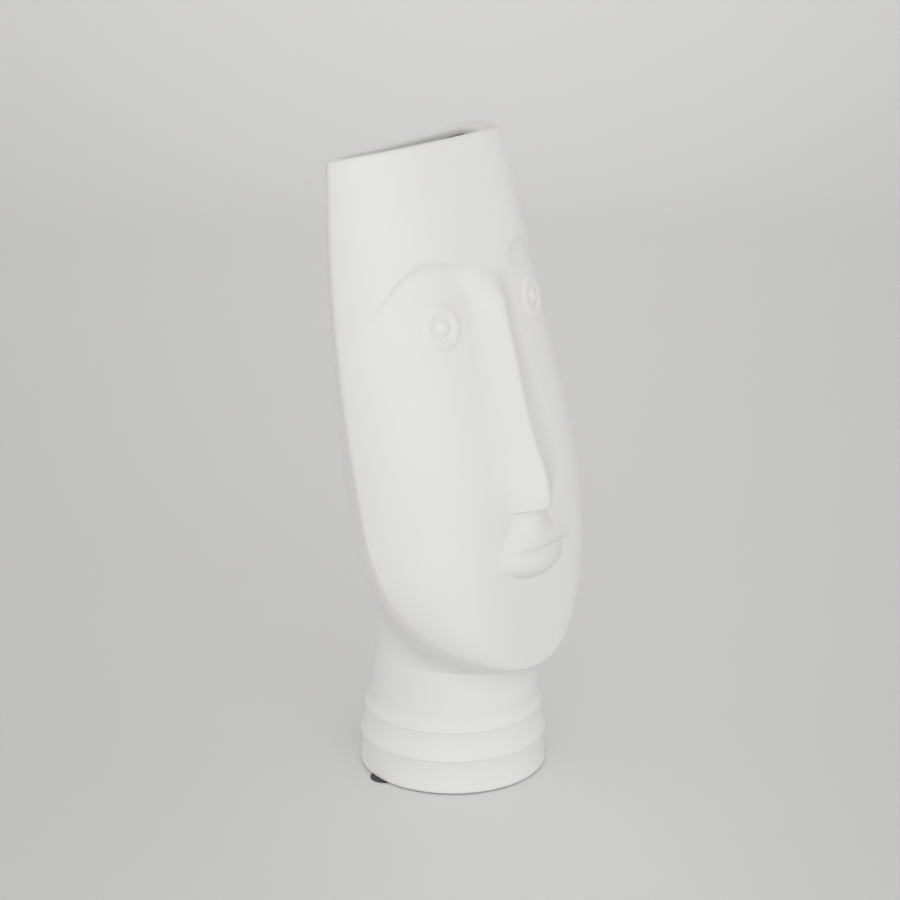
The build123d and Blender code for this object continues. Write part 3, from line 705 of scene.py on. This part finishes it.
def casting_mesh(head, carving, foot, density):
    """The whole casting as one closed mesh: face, back and neck, foot, rim and inside. Also how near
    each point is to a crease, and how deep it lies inside the rim."""
    d = density
    outer, inner = Skin(head), Skin(head, head.wall, split=NECK_SPLIT)
    half = d.face_half_columns
    across = np.sin(crowded(0.0, pi / 2, half + 1, [(0.0, 0.55, 0.8), (pi / 2, 0.3, 0.8)]))
    across[-1] = 1.0
    across = np.concatenate([-across[:0:-1], across])
    share = row_shares(head, carving, d.face_rows)
    face = face_surface(outer, carving, across, share)
    face_index = np.arange(face[0].size).reshape(face[0].shape)

    s = crowded(0.0, 1.0, d.back_half_columns + 1, [(1.0, 0.1, 3.0)])
    s = np.concatenate([s[::-1], -s[1:]])
    foot_radius, foot_z = foot_profile(foot, head.lip_z, d.round_rows)
    neck_z = crowded(head.lip_z, outer.chin_z, d.neck_rows, [
        (head.lip_z, 3.5 * MM, 3.0), (outer.chin_z, 9.0 * MM, 1.5)
    ])[:-1]
    back = back_surface(outer, face[2][0, half:], s, share, neck_z)
    turn_angle = pi * (1.0 - np.abs(s))
    foot_x = foot_radius[:, None] * np.sin(turn_angle) * np.sign(s)
    foot_forward = foot_radius[:, None] * np.cos(turn_angle)
    foot_z = foot_z[:, None] + np.zeros_like(foot_x)
    low = [np.concatenate(pair) for pair in zip((foot_x, foot_forward, foot_z), back)]
    start = face_index.size
    low_index = start + np.arange(low[0].size).reshape(low[0].shape)
    chin_row = len(foot_radius) + len(neck_z)
    low_index[:chin_row, -1] = low_index[:chin_row, 0]
    jaw_rows = slice(chin_row, chin_row + half + 1)
    low_index[jaw_rows, 0] = face_index[0, half:]
    low_index[jaw_rows, -1] = face_index[0, half::-1]
    low_index[chin_row + half + 1:, 0] = face_index[1:, -1]
    low_index[chin_row + half + 1:, -1] = face_index[1:, 0]

    shares = crowded(0.0, 1.0, d.inner_rows, [(0.0, 0.05, 2.0), (1.0, 0.05, 2.0)])
    inside = inner_surface(inner, across, s, shares)
    outer_loop = [np.concatenate([face[k][-1], back[k][-1, 1:-1]]) for k in (0, 1)]
    inner_loop = [inside[k][0] for k in (0, 1)]
    rim = rim_surface(outer, outer_loop, inner_loop, d.round_rows)
    floor_share = np.array([0.98, 0.9, 0.7, 0.4, 0.15])[:, None]
    floor = (
        inside[0][-1] * floor_share,
        inside[1][-1] * floor_share,
        np.full_like(inside[2][-1] * floor_share, head.floor - FLOOR_DISH),
    )
    top = [np.concatenate([a[1:-1], b, c]) for a, b, c in zip(rim, inside, floor)]
    start = start + low_index.size
    top_index = start + np.arange(top[0].size).reshape(top[0].shape)
    outer_ring = np.concatenate([face_index[-1], low_index[-1, 1:-1]])
    top_index = np.concatenate([outer_ring[None, :], top_index])
    top_index = np.concatenate([top_index, top_index[:, :1]], axis=1)
    start = start + top[0].size

    under_pole, floor_pole = start, start + 1
    poles = to_points(np.zeros(2), np.zeros(2), np.array([0.0, head.floor - FLOOR_DISH]))
    points = np.concatenate([to_points(*face), to_points(*low), to_points(*top), poles])
    quads = np.concatenate([quads_between(i) for i in (face_index, low_index, top_index)])
    triangles = np.concatenate([
        fan(low_index[0], under_pole, outward=True),
        fan(top_index[-1], floor_pole, outward=False),
    ])

    weight = crease_weight(len(points), face_index, low_index, chin_row)
    points = ease_edges(points, quads, weight, EASE_ROUNDS)
    depth = np.zeros(len(points))
    depth[top_index[1:, :-1]] = np.clip(outer.rim_height(top[0], top[1]) - top[2], 0.0, None)
    depth[floor_pole] = head.rim_z
    return points, quads, triangles, weight, depth


# Materials
class NodeGraph:
    """Nodes of a material or a world; an input is a fixed value or another node's output."""

    def __init__(self, tree):
        self.tree = tree

    def feed(self, node, inputs):
        for socket, value in inputs.items():
            if isinstance(value, bpy.types.NodeSocket):
                self.tree.links.new(value, node.inputs[socket])
            else:
                node.inputs[socket].default_value = value

    def add(self, kind, inputs=None):
        node = self.tree.nodes.new("ShaderNode" + kind)
        self.feed(node, inputs or {})
        return node

    def noise(self, scale, detail, roughness=0.5):
        """Noise on Object coordinates, with a scale in bumps per metre."""
        return self.add("TexNoise", {
            "Vector": self.add("TexCoord").outputs["Object"],
            "Scale": scale, "Detail": detail, "Roughness": roughness,
        }).outputs["Fac"]

    def attribute(self, name):
        """Value that the mesh holds for each of its points."""
        node = self.add("Attribute")
        node.attribute_name = name
        return node.outputs["Fac"]

    def spread(self, value, low, high, to_low, to_high):
        """Value taken from one range to another, kept inside it."""
        return self.add("MapRange", {
            "Value": value, "From Min": low, "From Max": high, "To Min": to_low, "To Max": to_high,
        }).outputs["Result"]

    def blend(self, share, first, second):
        """Two colours mixed by a share; the mixer's colours are its sockets 6, 7 and, out, 2."""
        node = self.add("Mix")
        node.data_type = "RGBA"
        self.feed(node, {"Factor": share})
        for socket, value in ((6, first), (7, second)):
            fixed = not isinstance(value, bpy.types.NodeSocket)
            self.feed(node, {socket: (*value, 1.0) if fixed else value})
        return node.outputs[2]

    def bump(self, height, distance, under=None):
        """Normal of a height field, over another normal if there is one."""
        node = self.add("Bump", {"Height": height, "Strength": 1.0, "Distance": distance})
        if under is not None:
            self.feed(node, {"Normal": under})
        return node.outputs["Normal"]


def new_material(name):
    material = bpy.data.materials.new(name)
    material.use_nodes = True
    tree = material.node_tree
    return material, NodeGraph(tree), tree.nodes["Principled BSDF"]


def ceramic_material(finishes):
    """Dry matte ceramic: faint cloudy tone, thin slip on the edges, fine grain, slight waviness, and
    a painted shade inside the rim: a dark colour that stands for the shade in the hollow."""
    material, graph, shader = new_material("matte_ceramic")
    cloud = graph.spread(graph.noise(28.0, 3.0), 0.35, 0.7, 0.0, 0.55)
    body = graph.blend(cloud, finishes.ceramic, finishes.ceramic_warm)
    thin = graph.spread(graph.attribute("edge"), 0.0, 1.0, 0.0, 0.6)
    tint = graph.blend(thin, body, finishes.ceramic_warm)
    ragged = graph.spread(graph.noise(140.0, 2.0), 0.3, 0.7, -INSIDE_SHADE_RAGGED, INSIDE_SHADE_RAGGED)
    depth = graph.add("Math", {0: graph.attribute("depth"), 1: ragged}).outputs[0]
    # Painted shade: below the rim's round the inside turns dark, for the shade in the hollow
    inside_shade_share = graph.spread(depth, INSIDE_SHADE_START, INSIDE_SHADE_FULL, 0.0, 1.0)
    wave = graph.bump(graph.noise(45.0, 1.0), 0.12 * MM)
    graph.feed(shader, {
        "Base Color": graph.blend(inside_shade_share, tint, finishes.inside_shade),
        "Roughness": graph.spread(graph.noise(160.0, 2.0), 0.3, 0.7, 0.5, 0.62),
        "Specular IOR Level": 0.35,
        "Normal": graph.bump(graph.noise(2200.0, 3.0, 0.6), 0.02 * MM, wave),
    })
    return material


def rubber_material(finishes):
    """Dark moulded rubber with a fine grain and a dusty tone."""
    material, graph, shader = new_material("pad_rubber")
    dust = graph.spread(graph.noise(900.0, 4.0), 0.4, 0.75, 0.0, 0.5)
    dusty = tuple(min(1.0, value * 2.2) for value in finishes.rubber)
    graph.feed(shader, {
        "Base Color": graph.blend(dust, finishes.rubber, dusty),
        "Roughness": 0.75,
        "Normal": graph.bump(graph.noise(3000.0, 2.0), 0.03 * MM),
    })
    return material


def film_material(finishes):
    """Cloudy adhesive."""
    material, graph, shader = new_material("adhesive_film")
    cloud = graph.spread(graph.noise(1400.0, 3.0), 0.35, 0.7, 0.0, 1.0)
    pale = tuple(min(1.0, value * 1.15) for value in finishes.film)
    graph.feed(shader, {"Base Color": graph.blend(cloud, finishes.film, pale), "Roughness": 0.4})
    return material


def floor_material(finishes):
    """Seamless paper with a barely visible grain, and a painted pool of light that makes it paler round
    the vase.
    """
    material, graph, shader = new_material("studio_floor")
    cloud = graph.spread(graph.noise(3.0, 2.0), 0.3, 0.7, 0.0, 1.0)
    paper = graph.blend(cloud, finishes.floor, tuple(value * 1.02 for value in finishes.floor))
    graph.feed(shader, {
        # Painted light: the paper turns paler round the vase, where a pool of light is painted
        "Base Color": graph.blend(graph.attribute("painted_light"), paper, finishes.painted_light_paper),
        "Roughness": 0.9,
        "Specular IOR Level": 0.1,
    })
    return material


# Objects
def add_object(name, points, faces, material):
    """A smooth mesh object at the origin, with its place in its points."""
    mesh = bpy.data.meshes.new(name)
    mesh.from_pydata(points.tolist(), [], faces)
    if mesh.validate():
        raise RuntimeError(f"{name} has faces that are not sound")
    mesh.polygons.foreach_set("use_smooth", np.ones(len(mesh.polygons), bool))
    mesh.materials.append(material)
    mesh.update()
    piece = bpy.data.objects.new(name, mesh)
    bpy.context.scene.collection.objects.link(piece)
    return piece


def add_values(piece, name, values):
    """One value per point, for the materials."""
    attribute = piece.data.attributes.new(name, "FLOAT", "POINT")
    attribute.data.foreach_set("value", values.astype(np.float32))


class FACEVASE_OT_casting(Operator):
    """Build the casting: head, face, neck, foot, rim and inside as one closed surface"""

    bl_idname = "face_vase.casting"
    bl_label = "Cast the vase"

    def execute(self, context):
        scene = context.scene
        points, quads, triangles, weight, depth = casting_mesh(
            scene.vase_head, scene.vase_carving, scene.vase_foot, scene.vase_density
        )
        material = ceramic_material(scene.vase_finishes)
        vase = add_object("ceramic_vase", points, quads.tolist() + triangles.tolist(), material)
        add_values(vase, "edge", weight / EASE_MOST)
        add_values(vase, "depth", depth)
        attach(vase, BODY)
        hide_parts("vase_body")
        return {"FINISHED"}


def pad_mesh(node, columns, rows):
    """A pad turned about its middle: a flat underside with a shallow ring, rounded rims and a flat
    top, from the box of its solid."""
    low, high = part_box(node)
    middle, radius, thick = (low + high) / 2.0, (high.x - low.x) / 2.0, high.z - low.z
    rim = 0.3 * thick
    quarter = np.linspace(0.0, pi / 2, rows)
    out = np.linspace(0.2, 1.0, 12) * (radius - rim)
    ring = 0.06 * thick * np.exp(-(((out - 0.6 * radius) / (0.08 * radius)) ** 2))
    r = np.concatenate([out, radius - rim + rim * np.sin(quarter[1:]),
                        radius - rim + rim * np.cos(quarter), out[-2::-1]])
    z = np.concatenate([ring, rim - rim * np.cos(quarter[1:]),
                        thick - rim + rim * np.sin(quarter), np.full(len(out) - 1, thick)])
    around = np.linspace(0.0, 2.0 * pi, columns + 1)[:-1]
    x = middle.x + r[:, None] * np.cos(around)
    y = middle.y + r[:, None] * np.sin(around)
    points = np.stack([x, y, low.z + z[:, None] + np.zeros_like(x)], -1).reshape(-1, 3)
    index = np.arange(x.size).reshape(x.shape)
    index = np.concatenate([index, index[:, :1]], axis=1)
    poles = np.array([[middle.x, middle.y, low.z], [middle.x, middle.y, high.z]])
    triangles = np.concatenate([
        fan(index[0], x.size, outward=True), fan(index[-1], x.size + 1, outward=False)
    ])
    return np.concatenate([points, poles]), quads_between(index).tolist() + triangles.tolist()


class FACEVASE_OT_pads(Operator):
    """Build the four rubber pads under the foot"""

    bl_idname = "face_vase.pads"
    bl_label = "Stick on the pads"

    def execute(self, context):
        scene = context.scene
        material = rubber_material(scene.vase_finishes)
        density = scene.vase_density
        for side in PAD_SIDES:
            node = "foot_pad_" + side
            points, faces = pad_mesh(node, density.pad_columns, density.round_rows)
            pad = add_object("rubber_pad_" + side, points, faces, material)
            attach(pad, BODY)
            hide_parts(node)
        return {"FINISHED"}


class FACEVASE_OT_films(Operator):
    """Give the adhesive films of the pads their finish"""

    bl_idname = "face_vase.films"
    bl_label = "Finish the films"

    def execute(self, context):
        material = film_material(context.scene.vase_finishes)
        for side in PAD_SIDES:
            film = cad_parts["foot_film_" + side]
            film.data.materials.clear()
            film.data.materials.append(material)
        return {"FINISHED"}


# Studio
# Framing: where the foot's middle lands in a square picture, the sensor and the farthest view
FOOT_PIXEL = (452.9, 753.9)
IMAGE_SIZE = 900.0
SENSOR_MM = 36.0
VIEW_REACH = 20.0
# Paper: floor before and behind the vase, radius of the bend, height of the wall and half width
PAPER_FRONT, PAPER_BEHIND, PAPER_BEND, PAPER_WALL, PAPER_HALF = 1.6, 1.1, 0.7, 2.6, 3.2
FLOOR_ROWS, BEND_ROWS, WALL_ROWS, PAPER_COLUMNS = 40, 25, 9, 61
# Painted light on the paper: its middle to the right, its width at the vase and how it widens and grows
# behind
PAINTED_LIGHT_ASIDE, PAINTED_LIGHT_WIDTH, PAINTED_LIGHT_WIDENING, PAINTED_LIGHT_NEAR = 0.03, 0.15, 0.28, 0.8
PAINTED_LIGHT_START, PAINTED_LIGHT_RUN, PAINTED_LIGHT_NARROWEST = -0.3, 1.3, -0.1
# Light: strength of the sky at the horizon and overhead, and a large soft disc
SKY_COLOUR, SKY_HORIZON, SKY_ZENITH = (1.0, 0.988, 0.968, 1.0), 1.10, 0.50
KEY_AIM_Z, KEY_BACK, KEY_RIGHT, KEY_UP = 0.16, 2.0, 0.32, 0.38
KEY_SIZE, KEY_POWER, KEY_TINT = 3.0, 16.2, (0.98, 1.0, 1.0)


def camera_pose(view):
    """Camera axes and place: turned about the vertical, tipped down so that the foot's middle lands
    on its pixel, at a depth along the view."""
    focal = view.lens / SENSOR_MM * IMAGE_SIZE
    aside = (FOOT_PIXEL[0] - IMAGE_SIZE / 2.0) / focal
    below = (FOOT_PIXEL[1] - IMAGE_SIZE / 2.0) / focal
    pitch = view.foot_drop - atan(below)
    level = Vector((-sin(view.azimuth), cos(view.azimuth), 0.0))
    right = Vector((cos(view.azimuth), sin(view.azimuth), 0.0))
    ahead = level * cos(pitch) - Vector((0.0, 0.0, sin(pitch)))
    up = level * sin(pitch) + Vector((0.0, 0.0, cos(pitch)))
    foot = Vector((NECK_AXIS.x, NECK_AXIS.y, FOOT_UNDERSIDE))
    place = foot - view.distance * (ahead + aside * right - below * up)
    pose = Matrix((right, up, -ahead)).transposed().to_4x4()
    pose.translation = place
    return pose, level, right


def sweep_mesh(level, right):
    """Seamless paper: a flat floor, a quarter round and a straight wall behind, carried sideways. Also
    a painted pool of light behind the vase: a bell across, wider further back, times an ease along the
    paper."""
    bend = np.linspace(0.0, pi / 2, BEND_ROWS)[1:]
    run = np.concatenate([np.linspace(-PAPER_FRONT, PAPER_BEHIND, FLOOR_ROWS),
                          PAPER_BEHIND + PAPER_BEND * np.sin(bend),
                          np.full(WALL_ROWS - 1, PAPER_BEHIND + PAPER_BEND)])
    rise = np.concatenate([np.zeros(FLOOR_ROWS), PAPER_BEND * (1.0 - np.cos(bend)),
                           np.linspace(PAPER_BEND, PAPER_WALL, WALL_ROWS)[1:]])
    aside = crowded(-PAPER_HALF, PAPER_HALF, PAPER_COLUMNS, [(0.0, 0.6, 6.0)])
    along = np.array(level)[None, None, :] * run[:, None, None]
    across = np.array(right)[None, None, :] * aside[None, :, None]
    points = along + across + np.array((0.0, 0.0, 1.0)) * rise[:, None, None]
    index = np.arange(len(run) * len(aside)).reshape(len(run), len(aside))
    steps = np.hypot(np.diff(run), np.diff(rise))
    reach = np.concatenate([[0.0], np.cumsum(steps)])[:, None] - PAPER_FRONT
    width = PAINTED_LIGHT_WIDTH + PAINTED_LIGHT_WIDENING * np.clip(reach, PAINTED_LIGHT_NARROWEST, None)
    ease = PAINTED_LIGHT_NEAR + (1.0 - PAINTED_LIGHT_NEAR) * smooth_step((reach - PAINTED_LIGHT_START) / PAINTED_LIGHT_RUN)
    # Painted light: a paler pool on the paper behind the vase
    painted_light = ease * np.exp(-(((aside - PAINTED_LIGHT_ASIDE) / width) ** 2))
    return points.reshape(-1, 3), quads_between(index).tolist(), painted_light.ravel()


def add_view(scene, pose):
    camera = bpy.data.cameras.new("view")
    camera.lens = scene.vase_view.lens
    camera.sensor_width = SENSOR_MM
    camera.clip_end = VIEW_REACH
    holder = bpy.data.objects.new("view", camera)
    holder.matrix_world = pose
    scene.collection.objects.link(holder)
    scene.camera = holder


def add_sky(scene):
    """World light that is strongest at the horizon and falls evenly with the height."""
    world = bpy.data.worlds.new("studio")
    world.use_nodes = True
    graph = NodeGraph(world.node_tree)
    direction = graph.add("TexCoord").outputs["Generated"]
    height = graph.add("SeparateXYZ", {"Vector": direction}).outputs["Z"]
    graph.feed(world.node_tree.nodes["Background"], {
        "Color": SKY_COLOUR,
        "Strength": graph.spread(height, 0.0, 1.0, SKY_HORIZON, SKY_ZENITH),
    })
    scene.world = world


def add_key(scene, level, right):
    """Soft disc beside the camera, turned to the vase and not seen itself."""
    target = Vector((NECK_AXIS.x, NECK_AXIS.y, KEY_AIM_Z))
    place = target - KEY_BACK * level + KEY_RIGHT * right + Vector((0.0, 0.0, KEY_UP))
    light = bpy.data.lights.new("key_softbox", "AREA")
    light.shape = "DISK"
    light.size = KEY_SIZE
    light.energy = KEY_POWER
    light.color = KEY_TINT
    lamp = bpy.data.objects.new("key_softbox", light)
    lamp.location = place
    lamp.visible_camera = False
    lamp.rotation_euler = (target - place).to_track_quat("-Z", "Y").to_euler()
    scene.collection.objects.link(lamp)


class FACEVASE_OT_studio(Operator):
    """Set up the pale floor, the soft light and the camera"""

    bl_idname = "face_vase.studio"
    bl_label = "Set up the studio"

    def execute(self, context):
        scene = context.scene
        scene.view_settings.view_transform = "Standard"
        pose, level, right = camera_pose(scene.vase_view)
        points, faces, painted_light = sweep_mesh(level, right)
        paper = add_object("studio_floor", points, faces, floor_material(scene.vase_finishes))
        # Painted light on the paper, one value per point
        add_values(paper, "painted_light", painted_light)
        add_view(scene, pose)
        add_sky(scene)
        add_key(scene, level, right)
        return {"FINISHED"}


class FACEVASE_PT_panel(Panel):
    """Lists the steps that build the vase"""

    bl_idname = "FACEVASE_PT_panel"
    bl_label = "Face vase"
    bl_space_type = "VIEW_3D"
    bl_region_type = "UI"
    bl_category = "Face vase"

    def draw(self, context):
        for step in STEPS:
            self.layout.operator(step.bl_idname)


GROUPS = {
    "vase_head": HeadSizes,
    "vase_carving": FaceCarving,
    "vase_foot": FootSizes,
    "vase_density": MeshDensity,
    "vase_finishes": Finishes,
    "vase_view": StudioView,
}
STEPS = (FACEVASE_OT_casting, FACEVASE_OT_pads, FACEVASE_OT_films, FACEVASE_OT_studio)


def register():
    for item in (*GROUPS.values(), *STEPS, FACEVASE_PT_panel):
        bpy.utils.register_class(item)
    for name, group in GROUPS.items():
        setattr(bpy.types.Scene, name, PointerProperty(type=group))


def unregister():
    for name in GROUPS:
        delattr(bpy.types.Scene, name)
    for item in (FACEVASE_PT_panel, *reversed(STEPS), *GROUPS.values()):
        bpy.utils.unregister_class(item)


def main():
    register()
    bpy.ops.face_vase.casting()
    bpy.ops.face_vase.pads()
    bpy.ops.face_vase.films()
    bpy.ops.face_vase.studio()


if __name__ == "__main__":
    main()
